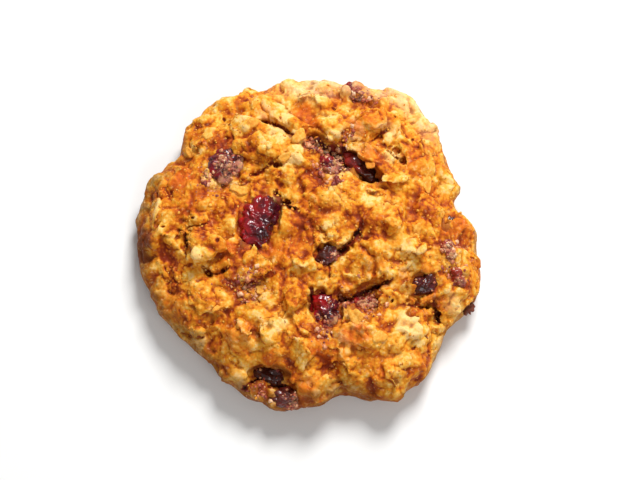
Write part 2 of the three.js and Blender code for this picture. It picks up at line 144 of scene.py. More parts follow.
# Cracks between lumps: width, depth and the line that each follows.
CRACKS = [
    (1.27, 1.08, [(-10.3, 25.6), (-8.7, 25.8), (-5.7, 24.0), (-4.3, 22.8), (-3.2, 21.9)]),
    (0.51, 0.42, [(-27.4, 15.0), (-25.8, 14.5), (-24.5, 13.9)]),
    (0.42, 0.48, [(-14.9, 19.9), (-13.7, 18.9), (-12.2, 17.6)]),
    (1.02, 0.78, [(-12.8, 12.6), (-10.7, 13.9), (-8.7, 14.8), (-6.6, 15.4)]),
    (0.85, 0.6, [(-15.8, 11.1), (-13.7, 11.3), (-12.2, 11.7)]),
    (1.5, 2.0, [(-5.9, 8.9), (-4.9, 7.4), (-3.7, 6.3), (-2.4, 5.9)]),
    (0.51, 0.48, [(-30.8, 10.4), (-28.7, 11.1)]),
    (0.51, 0.48, [(-29.3, 10.2), (-27.7, 7.8)]),
    (0.68, 0.78, [(-27.0, 0.1), (-26.0, 1.4), (-24.7, 2.2), (-22.4, 2.0), (-20.6, 2.2)]),
    (0.85, 1.8, [(-26.0, 1.7), (-24.9, 0.9), (-24.7, -1.2), (-25.1, -2.2)]),
    (0.51, 0.9, [(-25.1, -2.0), (-24.9, -4.4)]),
    (0.59, 0.54, [(-4.7, 17.6), (-3.4, 16.7)]),
    (1.1, 1.08, [(0.1, 20.2), (1.8, 19.3), (3.7, 19.7), (5.7, 19.3), (7.0, 20.8)]),
    (0.51, 0.6, [(7.2, 21.9), (8.2, 23.2)]),
    (0.42, 0.48, [(8.9, 20.6), (11.6, 20.6)]),
    (1.1, 0.72, [(13.3, 21.2), (15.1, 22.3), (16.4, 23.4)]),
    (0.77, 0.9, [(15.8, 20.2), (17.2, 18.4), (18.5, 16.9), (19.5, 16.5)]),
    (0.51, 0.42, [(14.5, 8.5), (15.8, 8.9)]),
    (1.5, 1.9, [(6.4, -2.5), (7.8, -1.7), (9.3, -0.6), (10.5, 1.6)]),
    (0.59, 0.78, [(2.6, 1.8), (3.9, -0.6), (4.7, -1.9)]),
    (0.42, 0.36, [(4.3, 10.4), (5.9, 9.8)]),
    (0.42, 0.3, [(24.5, 18.4), (26.8, 18.6)]),
    (0.42, 0.36, [(0.9, 6.5), (3.0, 5.2)]),
    (0.5, 1.2, [(-21.6, -6.5), (-20.6, -6.9), (-19.9, -7.7), (-18.5, -7.9), (-17.6, -7.3), (-16.4, -6.9)]),
    (0.51, 0.54, [(-29.1, -5.8), (-28.1, -7.5), (-27.0, -9.0), (-25.8, -9.4), (-24.5, -9.2)]),
    (0.42, 0.42, [(-30.2, -9.2), (-28.3, -9.0)]),
    (0.42, 0.42, [(-24.7, -11.4), (-23.7, -12.5), (-22.6, -13.6), (-21.4, -13.1), (-19.9, -12.9)]),
    (0.68, 0.84, [(-25.4, -19.0), (-23.9, -20.0), (-21.4, -20.5)]),
    (1.19, 0.42, [(-21.2, -17.9), (-19.5, -20.0)]),
    (0.68, 0.6, [(-13.7, -10.1), (-12.4, -11.4), (-11.2, -12.5), (-10.1, -14.0)]),
    (0.59, 0.54, [(-9.7, -7.7), (-9.5, -10.1), (-8.5, -11.4)]),
    (1.2, 1.9, [(-12.8, -30.2), (-11.0, -29.3), (-9.1, -28.2), (-7.6, -28.5), (-6.4, -29.5), (-3.2, -30.8)]),
    (0.68, 0.6, [(-6.2, -16.8), (-5.3, -14.8)]),
    (0.68, 0.96, [(4.7, -5.6), (4.9, -8.4)]),
    (1.5, 1.8, [(6.8, -12.7), (8.9, -12.0), (10.5, -11.2), (12.2, -10.7), (14.1, -9.9), (16.2, -9.2)]),
    (1.2, 1.8, [(1.1, -11.6), (1.4, -14.6)]),
    (1.1, 0.84, [(19.9, -13.8), (21.8, -14.0), (24.5, -14.0), (26.2, -13.8)]),
    (1.2, 2.0, [(26.4, -13.3), (26.8, -14.6), (27.2, -16.6)]),
    (0.59, 0.84, [(27.2, -16.6), (28.3, -17.4), (29.5, -17.9)]),
    (0.59, 0.48, [(10.1, -23.7), (12.0, -24.1)]),
    (0.59, 0.54, [(5.1, -26.7), (7.0, -26.3)]),
    (0.42, 0.36, [(19.3, -26.3), (20.3, -27.8)]),
    (0.42, 0.36, [(17.2, -5.6), (17.6, -7.1)]),
    (0.68, 0.48, [(19.3, -7.5), (21.2, -6.2)]),
    (0.42, 0.36, [(-9.3, -19.0), (-8.7, -20.0)]),
]

CRACK_EDGE, CRACK_SLOPE = 0.3, 1.5  # how far a crack reaches on its far and near side, in widths

# Small holes: x, y and radius. Each is twice as long as wide.
HOLES = [
    (-17.8, 26.2, 0.35), (-16.4, 24.5, 0.3), (-8.9, 14.5, 0.4), (-29.9, 2.4, 0.4), (-18.1, -1.7, 0.6),
    (-23.7, 3.7, 0.35), (-23.5, -6.0, 0.4), (5.5, 27.9, 0.35), (18.1, 26.0, 0.35), (12.0, -0.8, 0.6),
    (22.6, -16.4, 0.4), (17.6, -13.3, 0.35), (5.3, -20.7, 0.7), (24.5, -20.7, 0.45), (21.8, -23.1, 0.4),
    (6.8, -29.8, 0.35), (34.1, -3.2, 0.3), (22.0, 21.5, 0.4), (27.9, 21.5, 0.4), (-4.1, -18.7, 0.4),
    (2.2, -3.0, 0.7),
]
HOLE_DEPTH = 1.1
HOLE_EDGE = 1.3  # how far a hole reaches, in radii
CRACK_BENDS = ((2.4, 0.55), (0.8, 0.3))  # how cracks and holes waver: size and amount
CRACK_FADE = (4, 7)  # they die out between these heights

# Places on the crown of another colour: x, y, radius and strength.
PALE = [
    (-0.9, 31.8, 3.2, 1.0), (2.6, 31.0, 4.5, 0.7), (-20.8, 22.5, 1.3, 0.9), (-24.5, 18.9, 1.2, 0.8),
    (-8.5, 21.5, 3.0, 0.6), (-1.8, 21.2, 1.6, 0.9), (-1.6, 19.1, 1.6, 0.8), (-4.7, 16.3, 1.4, 0.8),
    (17.6, 23.6, 2.6, 0.8), (3.0, 26.6, 3.0, 0.6), (17.4, 17.2, 2.3, 1.0), (21.0, -18.7, 3.4, 1.0),
    (30.2, -13.6, 3.0, 0.9), (-5.7, -19.0, 2.4, 0.8), (5.7, 7.0, 3.6, 0.6), (16.0, 5.9, 2.6, 0.6),
    (5.7, 2.7, 2.6, 0.6), (33.9, -1.0, 2.2, 0.6), (-14.1, 9.8, 1.8, 0.7), (4.7, -7.5, 3.0, 0.4),
    (-9.5, -11.2, 1.2, 0.9), (9.9, -17.2, 1.6, 0.8), (14.7, -21.3, 1.5, 0.8), (-21.0, -21.3, 1.6, 0.7),
    (-19.5, -15.5, 1.0, 0.8), (-11.0, 28.6, 3.0, 0.4), (22.4, 28.2, 4.0, 0.5), (15.8, -14.0, 1.5, 0.5),
    (-2.4, 15.2, 2.0, 0.6), (12.0, 9.8, 2.0, 0.6), (-7.8, -5.8, 1.4, 0.6), (25.6, 2.9, 2.4, 0.5),
    (18.3, -29.1, 3.0, 0.5), (-30.8, 7.6, 2.0, 0.4), (-31.8, -5.8, 2.0, 0.4),
]
TOASTED = [
    (-0.9, 27.9, 2.2, 1.0), (9.9, 23.2, 2.4, 0.9), (12.6, 17.8, 2.6, 0.8),
    (-26.0, 12.4, 2.2, 0.9), (-28.3, 11.9, 1.6, 0.6), (9.3, -21.1, 3.0, 1.0), (11.8, -21.1, 1.6, 1.0),
    (32.2, 2.7, 2.2, 0.9), (-14.5, -20.9, 3.0, 0.6), (-0.5, -31.3, 3.0, 0.6), (-6.8, -25.7, 2.0, 0.7),
    (25.6, 10.6, 2.2, 0.7), (0.5, 24.9, 1.8, 0.7), (-6.8, -3.2, 2.6, 0.7), (-16.6, -3.6, 2.0, 0.6),
    (8.2, -12.9, 2.0, 0.5), (0.9, 6.3, 1.8, 0.6), (13.0, -7.1, 2.4, 0.6), (20.3, -8.4, 1.6, 0.5),
    (-8.9, 27.5, 1.8, 0.6), (-23.5, 6.5, 2.6, 0.5), (-26.2, 22.8, 2.0, 0.5), (2.6, -23.1, 2.6, 0.6),
    (6.8, -24.8, 2.0, 0.5), (-27.7, -14.0, 3.0, 0.5), (21.4, -14.0, 2.0, 0.5), (-1.6, -2.1, 2.0, 0.4),
    (22.4, 16.3, 3.0, 0.5), (14.0, 24.4, 2.6, 0.5),
]

# Painted shade on the left rim, where a dent in its side lies in shade: x, y, radius and strength.
DENT_SHADE_PATCHES = [
    (-34.9, 0.6, 2.6, 1.0), (-34.6, -2.6, 2.2, 1.0),
]

# The rim has painted shade on the side that turns away from the light and painted light on the side that
# turns towards it: its width, from inside to outside, and the direction.
RIM_SHADE_BAND, RIM_SHADE_SIDE = (4.5, 1.5), math.radians(222)
RIM_LIGHT_BAND, RIM_LIGHT_SIDE = (6.0, 2.0), math.radians(70)
RIM_SHADE_SPREAD, RIM_LIGHT_SPREAD = (0.0, 0.5), (0.8, 0.95)  # cosines of the angle away from that direction

# Places that juice from a berry has stained, or soaked where the strength is above 1.
STAINED = [
    (11.8, -13.8, 3.4, 0.9), (7.6, -13.6, 2.2, 0.9), (3.4, -20.0, 2.4, 0.8), (-12.2, -10.6, 3.6, 0.9),
    (-20.4, 12.0, 3.4, 0.5), (30.0, -6.4, 2.4, 0.7), (-9.6, -31.6, 2.4, 0.6), (-4.4, -33.6, 2.6, 0.6),
    (3.2, 14.8, 2.4, 0.8), (5.6, 12.6, 2.0, 0.8), (30.8, -1.0, 2.2, 0.4),
    (10.4, 32.6, 2.6, 0.3), (13.4, 31.2, 2.4, 0.25), (8.9, 21.6, 2.0, 0.6),
    (0.6, 20.3, 1.5, 1.8), (2.4, 19.5, 1.7, 1.9), (4.4, 18.6, 1.9, 2.0), (6.4, 17.6, 1.9, 2.0),
    (8.0, 16.0, 1.8, 1.8),
]
BLOB_BEND = (2.4, 1.3)  # how the edges of these places waver: size and amount
BLOB_FADE = (1, 4)  # they die out between these heights
JUICE_REACH = 1.2  # how far round a berry its juice stains the dough

# Each berry's looks: how red it is rather than dark purple, how thickly crumbs coat it,
# how far up the dough covers it, and how brown it is baked.
BERRY_LOOKS = {
    "cranberry_glossy": (0.5, 0.0, 0.25, 0.0),
    "cranberry_dusty": (0.4, 0.6, 0.35, 0.0),
    "cranberry_red": (0.5, 0.3, 0.4, 0.0),
    "cranberry_red_side": (0.5, 0.7, 0.7, 0.0),
    "cranberry_folded": (0.35, 0.0, 0.1, 0.3),
    "cranberry_crumbed": (0.5, 0.7, 0.45, 0.0),
    "cranberry_middle": (0.2, 0.15, 0.45, 0.25),
    "cranberry_dark": (0.25, 0.1, 0.25, 0.1),
    "cranberry_small": (0.8, 0.35, 0.4, 0.5),
    "cranberry_upper": (0.3, 0.3, 0.45, 0.2),
    "cranberry_pink": (0.6, 0.8, 0.6, 0.2),
    "cranberry_black": (0.0, 0.1, 0.45, 0.2),
    "cranberry_stain": (0.6, 0.8, 0.9, 0.0),
    "cranberry_front": (0.25, 0.2, 0.5, 0.3),
    "cranberry_back": (0.5, 0.5, 0.9, 0.3),
    "cranberry_edge_back": (0.1, 0.0, 0.2, 0.8),
    "cranberry_edge_right": (0.1, 0.0, 0.2, 0.8),
    "cranberry_edge_low": (0.1, 0.0, 0.2, 0.8),
}


# ---------- Arrays and meshes ----------
class Shape:
    """Points in millimetres and the faces between them."""

    def __init__(self, points, faces):
        self.points = np.asarray(points, float)
        self.faces = faces

    def placed(self, matrix):
        rotated = self.points @ np.array(matrix.to_3x3()).T
        return Shape(rotated + np.array(matrix.translation), self.faces)


def joined(shapes):
    """Several shapes as one, and for each face the number of the shape that it came from."""
    points, faces, owners, start = [], [], [], 0
    for number, shape in enumerate(shapes):
        points.append(shape.points)
        faces.extend(tuple(i + start for i in face) for face in shape.faces)
        owners.extend([number] * len(shape.faces))
        start += len(shape.points)
    return Shape(np.concatenate(points), faces), np.array(owners)


def shape_of(mesh):
    points = np.empty(len(mesh.vertices) * 3)
    mesh.vertices.foreach_get("co", points)
    return Shape(points.reshape(-1, 3) / MM, [tuple(p.vertices) for p in mesh.polygons])


def mesh_of(shape, name):
    mesh = bpy.data.meshes.new(name)
    mesh.from_pydata((shape.points * MM).tolist(), [], shape.faces)
    mesh.update()
    return mesh


def linked(name, data):
    """A new object in the scene."""
    obj = bpy.data.objects.new(name, data)
    bpy.context.scene.collection.objects.link(obj)
    return obj


def with_modifiers(shape, *modifiers):
    """The shape after Blender's modifiers, each given as its type and settings."""
    obj = linked("scratch", mesh_of(shape, "scratch"))
    for kind, settings in modifiers:
        modifier = obj.modifiers.new(kind, kind)
        for key, value in settings.items():
            setattr(modifier, key, value)
    evaluated = obj.evaluated_get(bpy.context.evaluated_depsgraph_get())
    result = shape_of(evaluated.to_mesh())
    evaluated.to_mesh_clear()
    bpy.data.objects.remove(obj)
    return result


def remesh(voxel):
    return ("REMESH", {"mode": "VOXEL", "voxel_size": voxel * MM})


def smooth(times):
    return ("SMOOTH", {"factor": 0.5, "iterations": times})


def point_normals(shape):
    mesh = mesh_of(shape, "scratch")
    normals = np.empty(len(mesh.vertices) * 3)
    mesh.vertices.foreach_get("normal", normals)
    bpy.data.meshes.remove(mesh)
    return normals.reshape(-1, 3)


def tree_of(shape):
    return BVHTree.FromPolygons(shape.points.tolist(), shape.faces)


def edges_of(shape):
    mesh = mesh_of(shape, "scratch")
    edges = np.empty(len(mesh.edges) * 2, int)
    mesh.edges.foreach_get("vertices", edges)
    bpy.data.meshes.remove(mesh)
    return edges.reshape(-1, 2)


def relaxed(values, edges, times):
    """Values on the points, each moved half way to its neighbours' mean, over and over."""
    ends = np.concatenate([edges[:, 0], edges[:, 1]])
    others = np.concatenate([edges[:, 1], edges[:, 0]])
    count = np.maximum(np.bincount(ends, minlength=len(values)), 1)
    values = values.copy()
    for _ in range(times):
        for axis in range(values.shape[1]):
            total = np.bincount(ends, values[others, axis], len(values))
            values[:, axis] = 0.5 * values[:, axis] + 0.5 * total / count
    return values


def sunken(points, normals, edges, rounds):
    """How far each point lies below its evened-out surroundings."""
    return ((relaxed(points, edges, rounds) - points) * normals).sum(1)


def unit(vectors):
    return vectors / np.linalg.norm(vectors, axis=1)[:, None]


def smoothstep(value, low, high):
    share = np.clip((value - low) / (high - low), 0, 1)
    return share * share * (3 - 2 * share)


def wavy(place):
    """Smooth noise whose grid is turned away from the axes and bent, so that it never shows."""
    turned = TWIST @ place
    return noise.noise(turned + 0.35 * noise.noise_vector(turned * 0.8), noise_basis="PERLIN_NEW")


def puffs_at(points, size):
    """Uneven rounded puffs with sharp creases between them, from 0 in the creases to about 1."""
    shift = Vector((size * 7.1, size * 3.3, size * 5.7))
    return np.tanh([abs(wavy(Vector(p) / size + shift)) * 2.7 for p in points])


def grains_at(points, size):
    """Rounded grains, from 0 in the creases to 1."""
    heights = np.empty(len(points))
    for i, p in enumerate(points):
        place = Vector(p) / size
        near, second = noise.voronoi(place + 0.7 * noise.noise_vector(place * 0.6))[0][:2]
        heights[i] = min(1.0, 2.2 * (second - near)) * (1 - 0.6 * near)
    return heights


# ---------- Small closed shapes ----------
def lathe(profile, segments):
    """A closed surface turned from [radius, height] pairs that start and end on the axis."""
    points = [(0, 0, profile[0][1])]
    turns = [2 * math.pi * i / segments for i in range(segments)]
    for radius, height in profile[1:-1]:
        points += [(radius * math.cos(a), radius * math.sin(a), height) for a in turns]
    points.append((0, 0, profile[-1][1]))
    last = len(points) - 1
    rings = len(profile) - 2
    faces = []
    for i in range(segments):
        j = (i + 1) % segments
        faces.append((0, 1 + i, 1 + j))
        for ring in range(rings - 1):
            a, b = 1 + ring * segments, 1 + (ring + 1) * segments
            faces.append((a + i, b + i, b + j, a + j))
        end = 1 + (rings - 1) * segments
        faces.append((end + i, last, end + j))
    return Shape(points, faces)


FLAKE_PROFILE = [
    (0, 0.42), (0.4, 0.5), (0.78, 0.46), (0.95, 0.3), (1, 0), (0.93, -0.3), (0.7, -0.5), (0, -0.5),
]


def oat_flake(rng, length, width, thickness, segments=14):
    """A rolled oat: an uneven oval plate with a crease along it, bent and curled a little."""
    flake = lathe(FLAKE_PROFILE, segments)
    x, y, z = flake.points.T
    angle = np.arctan2(y, x)
    phases = rng.uniform(0, 2 * math.pi, 4)
    edge = 1 + 0.14 * np.sin(2 * angle + phases[0]) + 0.12 * np.sin(3 * angle + phases[1])
    edge += 0.09 * np.sin(5 * angle + phases[2])
    x, y = x * edge * length / 2, y * edge * width / 2
    crease = np.exp(-((y / (0.16 * width)) ** 2)) * np.sign(z) * 0.16
    bend, curl = rng.uniform(-0.035, 0.05), rng.uniform(-0.02, 0.04)
    wave = 0.12 * np.sin(1.3 * x + phases[3])
    z = (z - crease) * thickness + bend * x * x / 2 + curl * y * y + wave
    return Shape(np.stack([x, y, z], 1), flake.faces)


def unit_ball(level):
    work = bmesh.new()
    bmesh.ops.create_icosphere(work, subdivisions=level, radius=1)
    ball = Shape([v.co[:] for v in work.verts], [tuple(v.index for v in f.verts) for f in work.faces])
    work.free()
    return ball


def granule(rng, ball, size):
    """An uneven crumb of dough."""
    stretch = rng.uniform(0.55, 1.0, 3)
    shift = rng.uniform(0, 50)
    swell = np.array([1 + 0.6 * noise.noise(Vector(p) * 1.3 + Vector((shift, 0, 0))) for p in ball.points])
    return Shape(ball.points * stretch * swell[:, None] * size / 2, ball.faces)


# ---------- Placing things on the crust ----------
class Ground:
    """The smoothed dough, on which loose things are placed."""

    def __init__(self, shape):
        self.shape = shape
        self.triangles = np.array([(f[0], f[i], f[i + 1]) for f in shape.faces for i in range(1, len(f) - 1)])
        a, b, c = (shape.points[self.triangles[:, i]] for i in range(3))
        areas = np.linalg.norm(np.cross(b - a, c - a), axis=1)
        self.shares = np.cumsum(areas) / areas.sum()
        self.normals = point_normals(shape)
        self.tree = BVHTree.FromPolygons(shape.points.tolist(), self.triangles.tolist())
        self.hollow = sunken(shape.points, self.normals, edges_of(shape), GROUND_ROUNDS)

    def nearest(self, points):
        """For each point, how far the dough nearest to it lies in a hollow, and that dough's normal."""
        corners = self.triangles[[self.tree.find_nearest(p)[2] for p in points]]
        return self.hollow[corners].mean(1), unit(self.normals[corners].mean(1))

    def spots(self, rng, count):
        """Random points of the surface, each with its normal and how far it lies in a hollow."""
        chosen = self.triangles[np.searchsorted(self.shares, rng.random(count))]
        u, v = rng.random((2, count))
        over = u + v > 1
        u[over], v[over] = 1 - u[over], 1 - v[over]
        weights = np.stack([1 - u - v, u, v], 1)[:, :, None]
        points = (self.shape.points[chosen] * weights).sum(1)
        normals = (self.normals[chosen] * weights).sum(1)
        hollow = (self.hollow[chosen] * weights[:, :, 0]).sum(1)
        return points, unit(normals), hollow


def spaced(rng, ground, reaches, allowed, spacing):
    """Spots for things of these reaches, largest first, that keep apart by their reaches."""
    reaches = sorted(reaches, reverse=True)
    points, normals, hollow = ground.spots(rng, len(reaches) * SPOT_TRIES)
    cell = 2 * max(reaches) * spacing
    taken = {}
    placed = []
    for number, reach in enumerate(reaches):
        for i in range(number * SPOT_TRIES, (number + 1) * SPOT_TRIES):
            if not allowed(points[i], normals[i], hollow[i], reach):
                continue
            home = tuple((points[i] // cell).astype(int))
            near = (taken.get((home[0] + a, home[1] + b, home[2] + c), ())
                    for a in (-1, 0, 1) for b in (-1, 0, 1) for c in (-1, 0, 1))
            if all(math.dist(points[i], q) > (reach + r) * spacing for box in near for q, r in box):
                taken.setdefault(home, []).append((points[i], reach))
                placed.append((points[i], normals[i], reach))
                break
    return placed


def stood(rng, shape, point, normal, lean, sink):
    """The shape on the crust, sunk into it, turned at random and leaning by up to an angle."""
    tilt = Vector(normal + lean * rng.uniform(-1, 1, 3))
    turn = tilt.normalized().to_track_quat("Z", "Y").to_matrix().to_4x4()
    spin = Matrix.Rotation(rng.uniform(0, 2 * math.pi), 4, "Z")
    return shape.placed(Matrix.Translation(Vector(point - sink * normal)) @ turn @ spin)


def skewed(rng, span, power, count=None):
    """Random sizes in a span, more of them small where the power is larger."""
    return span[0] + (span[1] - span[0]) * rng.random(count) ** power


# ---------- Cranberries ----------
class Berry:
    """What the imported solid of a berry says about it."""

    def __init__(self, name):
        low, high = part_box(name)
        self.name = name
        self.middle = (np.array(low) + np.array(high)) / 2 / MM
        self.size = (np.array(high) - np.array(low)) / MM
        self.shape = shape_of(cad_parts[name].data)
        self.red, self.dust, self.cover, self.baked = BERRY_LOOKS[name]
        self.on_rim = "edge" in name

    def reach(self):
        return max(self.size[:2]) / 2


BERRIES = [Berry(name) for name in sorted(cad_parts) if name.startswith("cranberry")]


def plug(berry):
    """Dough that fills a berry's pocket, up to where the berry stands out of it."""
    points = (berry.shape.points - berry.middle) * (RIM_PLUG if berry.on_rim else PLUG)
    points[:, 2] = np.where(points[:, 2] > 0, berry.cover, 1.0) * points[:, 2]
    return Shape(points + berry.middle, berry.shape.faces)


def berry_distance(points):
    """How far each point is from the nearest berry's skin, in millimetres."""
    skin = np.concatenate([b.shape.points for b in BERRIES])
    tree = KDTree(len(skin))
    for i, p in enumerate(skin):
        tree.insert(p, i)
    tree.balance()
    return np.array([tree.find(p)[2] for p in points])


# ---------- The crust's skin ----------
rng = np.random.default_rng(SEED)
dough = shape_of(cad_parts["dough"].data)
filled, _ = joined([dough] + [plug(b) for b in BERRIES])
ground = Ground(with_modifiers(filled, remesh(BASE_VOXEL), smooth(BASE_SMOOTHING)))
all_berries, _ = joined([b.shape for b in BERRIES])
berry_tree = tree_of(all_berries)


def met_from_above(tree, x, y):
    """Where a ray straight down meets a surface, and its normal there, or None for both."""
    return tree.ray_cast(Vector((x, y, SKY)), DOWN)[:2]


def on_berry(point):
    """Whether a berry lies under or over a point."""
    return met_from_above(berry_tree, point[0], point[1])[0] is not None


def free_of_berries(margin):
    """A rule for oats: clear of every berry by this share of their reach."""
    def allowed(point, normal, hollow, reach):
        if point[2] < LOWEST_SOFT_OAT or hollow > SOFT_OAT_HOLLOW:
            return False
        if normal[2] < RIM_SLOPE and reach > RIM_REACH:
            return False
        return all(math.dist(point, b.middle) > b.reach() + margin * reach for b in BERRIES)

    return allowed


def clear_of_berries(point, normal, hollow, reach):
    return point[2] > LOWEST_GRANULE and hollow < GRANULE_HOLLOW and not on_berry(point)


def soft_oats():
    lengths = skewed(rng, SOFT_OAT_LENGTH, 1.5, SOFT_OATS)
    shapes = []
    for point, normal, reach in spaced(rng, ground, lengths / 2, free_of_berries(0.4), spacing=0.72):
        flake = oat_flake(rng, 2 * reach, 2 * reach * rng.uniform(0.65, 0.95), rng.uniform(0.7, 1.1))
        sink = rng.uniform(0.25, 0.6)
        shapes.append(stood(rng, flake, point, normal, lean=0.24, sink=sink))
    return shapes


def granules():
    ball = unit_ball(1)
    sizes = skewed(rng, GRANULE_SIZE, 2, GRANULES)
    shapes = []
    for point, normal, reach in spaced(rng, ground, sizes / 2, clear_of_berries, spacing=0.7):
        crumb = granule(rng, ball, 2 * reach)
        sink = rng.uniform(0.35, 0.9) * reach
        shapes.append(stood(rng, crumb, point, normal, lean=0.5, sink=sink))
    return shapes


def collars():
    """Lumps of dough that crowd in round each berry."""
    ball = unit_ball(2)
    points, normals, _ = ground.spots(rng, COLLAR_TRIES)
    near = berry_distance(points)
    shapes = []
    for point, normal, apart in zip(points, normals, near):
        if on_berry(point) and rng.random() > COLLAR_OVERLAP:
            continue
        if COLLAR_REACH[0] < apart < COLLAR_REACH[1] and point[2] > LOWEST_COLLAR:
            size = rng.uniform(*COLLAR_SIZE)
            lump = granule(rng, ball, size)
            sink = rng.uniform(-0.1, 0.3) * size
            shapes.append(stood(rng, lump, point, normal, lean=0.5, sink=sink))
    return shapes


def banks():
    """Lumps of dough that crowd in along each crack, and leave it narrow and ragged."""
    ball = unit_ball(2)
    shapes = []
    for width, _, line in CRACKS:
        for start, end in zip(line, line[1:]):
            along = np.subtract(end, start)
            aside = np.array([-along[1], along[0]]) / np.linalg.norm(along)
            for _ in range(int(BANK_LUMPS * math.dist(start, end)) + 1):
                side = rng.choice((-1, 1))
                spot = start + along * rng.random() + side * aside * (width / 2 + rng.uniform(*BANK_OFFSET))
                if on_berry(spot):
                    continue
                size = rng.uniform(*BANK_SIZE)
                beside = spot + BANK_REACH * side * aside
                highest = max(top_at(ground.tree, spot), top_at(ground.tree, beside))
                middle = np.array([*spot, highest - BANK_SINK * size])
                lump = granule(rng, ball, size)
                shapes.append(stood(rng, lump, middle, UP, lean=0.5, sink=0))
    return shapes


def top_at(tree, spot):
    """The height of a surface over a place in the XY plane, or 0 beyond its outline."""
    met = met_from_above(tree, *spot)[0]
    return met.z if met else 0


def laid_flakes(places, tree, thickness, lift):
    """Flakes laid at their places on a surface."""
    shapes = []
    for x, y, length, width, turn in places:
        met, normal = met_from_above(tree, x, y)
        facing = (normal + Vector(UP)).to_track_quat("Z", "Y").to_matrix().to_4x4()
        spin = Matrix.Rotation(math.radians(turn), 4, "Z")
        flake = oat_flake(rng, length, width, thickness, 18)
        shapes.append(flake.placed(Matrix.Translation(met + normal * lift) @ facing @ spin))
    return shapes


oats = laid_flakes(LUMPS, ground.tree, thickness=2.6, lift=0.2)
oats += laid_flakes(FLAKES, ground.tree, thickness=1.3, lift=0.15) + soft_oats()
crumbs = granules() + collars() + banks()
whole, owners = joined([ground.shape, *oats, *crumbs])
skin = with_modifiers(whole, remesh(CRUST_VOXEL), smooth(1))


def line_distance(places, line):
    """How far places in the XY plane are from a line through several points, and whether on its far side."""
    nearest = np.full(len(places), np.inf)
    beyond = np.zeros(len(places), bool)
    for start, end in zip(line, line[1:]):
        start, end = sorted((start, end))
        along = np.subtract(end, start)
        share = np.clip(((places - start) @ along) / (along @ along), 0, 1)
        off = places - start - share[:, None] * along
        apart = np.linalg.norm(off, axis=1)
        closer = apart < nearest
        nearest[closer] = apart[closer]
        beyond[closer] = (along[0] * off[:, 1] - along[1] * off[:, 0] > 0)[closer]
    return nearest, beyond


def cracks_at(points):
    """How deep the cracks and holes are under each point. A crack has a sharp far edge over a slope."""
    places = points[:, :2]
    for size, amount in CRACK_BENDS:
        bend = np.array([noise.noise_vector(TWIST @ Vector(p) / size)[:2] for p in points])
        places = places + bend * amount
    uneven = np.array([noise.noise(Vector(p) / 1.8 + Vector((9, 0, 0))) for p in points])
    depth = np.zeros(len(points))
    for width, deepest, line in CRACKS:
        apart, beyond = line_distance(places, line)
        slope = 1 - smoothstep(apart, -0.6 * width, np.where(beyond, CRACK_EDGE, CRACK_SLOPE) * width)
        depth = np.maximum(depth, slope * deepest)
    for x, y, radius in HOLES:
        turn = 3 * x
        across = (places[:, 0] - x) * math.cos(turn) + (places[:, 1] - y) * math.sin(turn)
        along = (places[:, 1] - y) * math.cos(turn) - (places[:, 0] - x) * math.sin(turn)
        apart = np.hypot(1.4 * across, 0.7 * along)
        depth = np.maximum(depth, HOLE_DEPTH * (1 - smoothstep(apart, 0, HOLE_EDGE * radius)))
    return depth * smoothstep(points[:, 2], *CRACK_FADE) * np.clip(0.85 + 0.9 * uneven, 0.25, 1.2)


def outline_at(angles):
    """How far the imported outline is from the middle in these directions."""
    starts, ends = (dough.points[edges_of(dough)[:, i], :2] for i in (0, 1))
    places = np.concatenate([starts + share * (ends - starts) for share in (0, 0.25, 0.5, 0.75)])
    corners = np.arctan2(places[:, 1], places[:, 0])
    sector = ((corners + math.pi) / (2 * math.pi) * OUTLINE_SECTORS).astype(int) % OUTLINE_SECTORS
    reach = np.zeros(OUTLINE_SECTORS)
    np.maximum.at(reach, sector, np.hypot(places[:, 0], places[:, 1]))
    middles = (np.arange(OUTLINE_SECTORS) + 0.5) / OUTLINE_SECTORS * 2 * math.pi - math.pi
    return np.interp(angles, middles, reach, period=2 * math.pi)


def kept_in(points):
    """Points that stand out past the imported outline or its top, drawn most of the way back."""
    limit = outline_at(np.arctan2(points[:, 1], points[:, 0]))
    over = np.maximum(np.hypot(points[:, 0], points[:, 1]) - limit + OUTLINE_MARGIN, 0)
    shrink = 1 - (1 - OVERHANG) * over / limit
    above = np.maximum(points[:, 2] - dough.points[:, 2].max(), 0)
    lower = points[:, 2] - (1 - OVERHANG) * above
    return np.stack([points[:, 0] * shrink, points[:, 1] * shrink, lower], 1)


def roughened(shape):
    """The skin with its puffs and grains, and with shallow pits in the underside."""
    points = shape.points
    normals = point_normals(shape)
    grain_size, grain_height = GRAINS
    puffs = [height * (puffs_at(points, size) - PUFF_MEAN) for size, height in PUFFS]
    relief = sum(puffs) + grain_height * (grains_at(points, grain_size) - PUFF_MEAN) - SKIN_LEVEL
    crown = smoothstep(ground.nearest(points)[1][:, 2], 0.0, 0.7)
    relief *= SIDE_RELIEF + (1 - SIDE_RELIEF) * crown
    below = 1 - smoothstep(points[:, 2], 0, FOOT_FADE)
    pits = UNDERSIDE_PITS * smoothstep(puffs[1] + puffs[2], 0.0, -0.2)
    push = (1 - below) * relief - below * pits
    moved = kept_in(points + normals * push[:, None])
    moved[:, 2] = np.maximum(moved[:, 2] - cracks_at(points), 0)
    return Shape(moved, shape.faces)


skin = roughened(skin)
triangle_count = sum(len(f) - 2 for f in skin.faces)
if triangle_count > CRUST_TRIANGLES:
    skin = with_modifiers(skin, ("DECIMATE", {"ratio": CRUST_TRIANGLES / triangle_count}))
    skin.points[:, 2] = np.maximum(skin.points[:, 2], 0)


def blobs_at(points, blobs):
    """How strongly each point belongs to a set of uneven round places, none of them on the underside."""
    total = np.zeros(len(points))
    size, amount = BLOB_BEND
    bend = np.array([noise.noise_vector(Vector(p) / size) for p in points])
    x_at, y_at = (points + bend * amount)[:, :2].T
    for x, y, radius, strength in blobs:
        apart = np.hypot(x_at - x, y_at - y) / radius
        total = np.maximum(total, strength * np.exp(-apart ** 4))
    return total * smoothstep(points[:, 2], *BLOB_FADE)


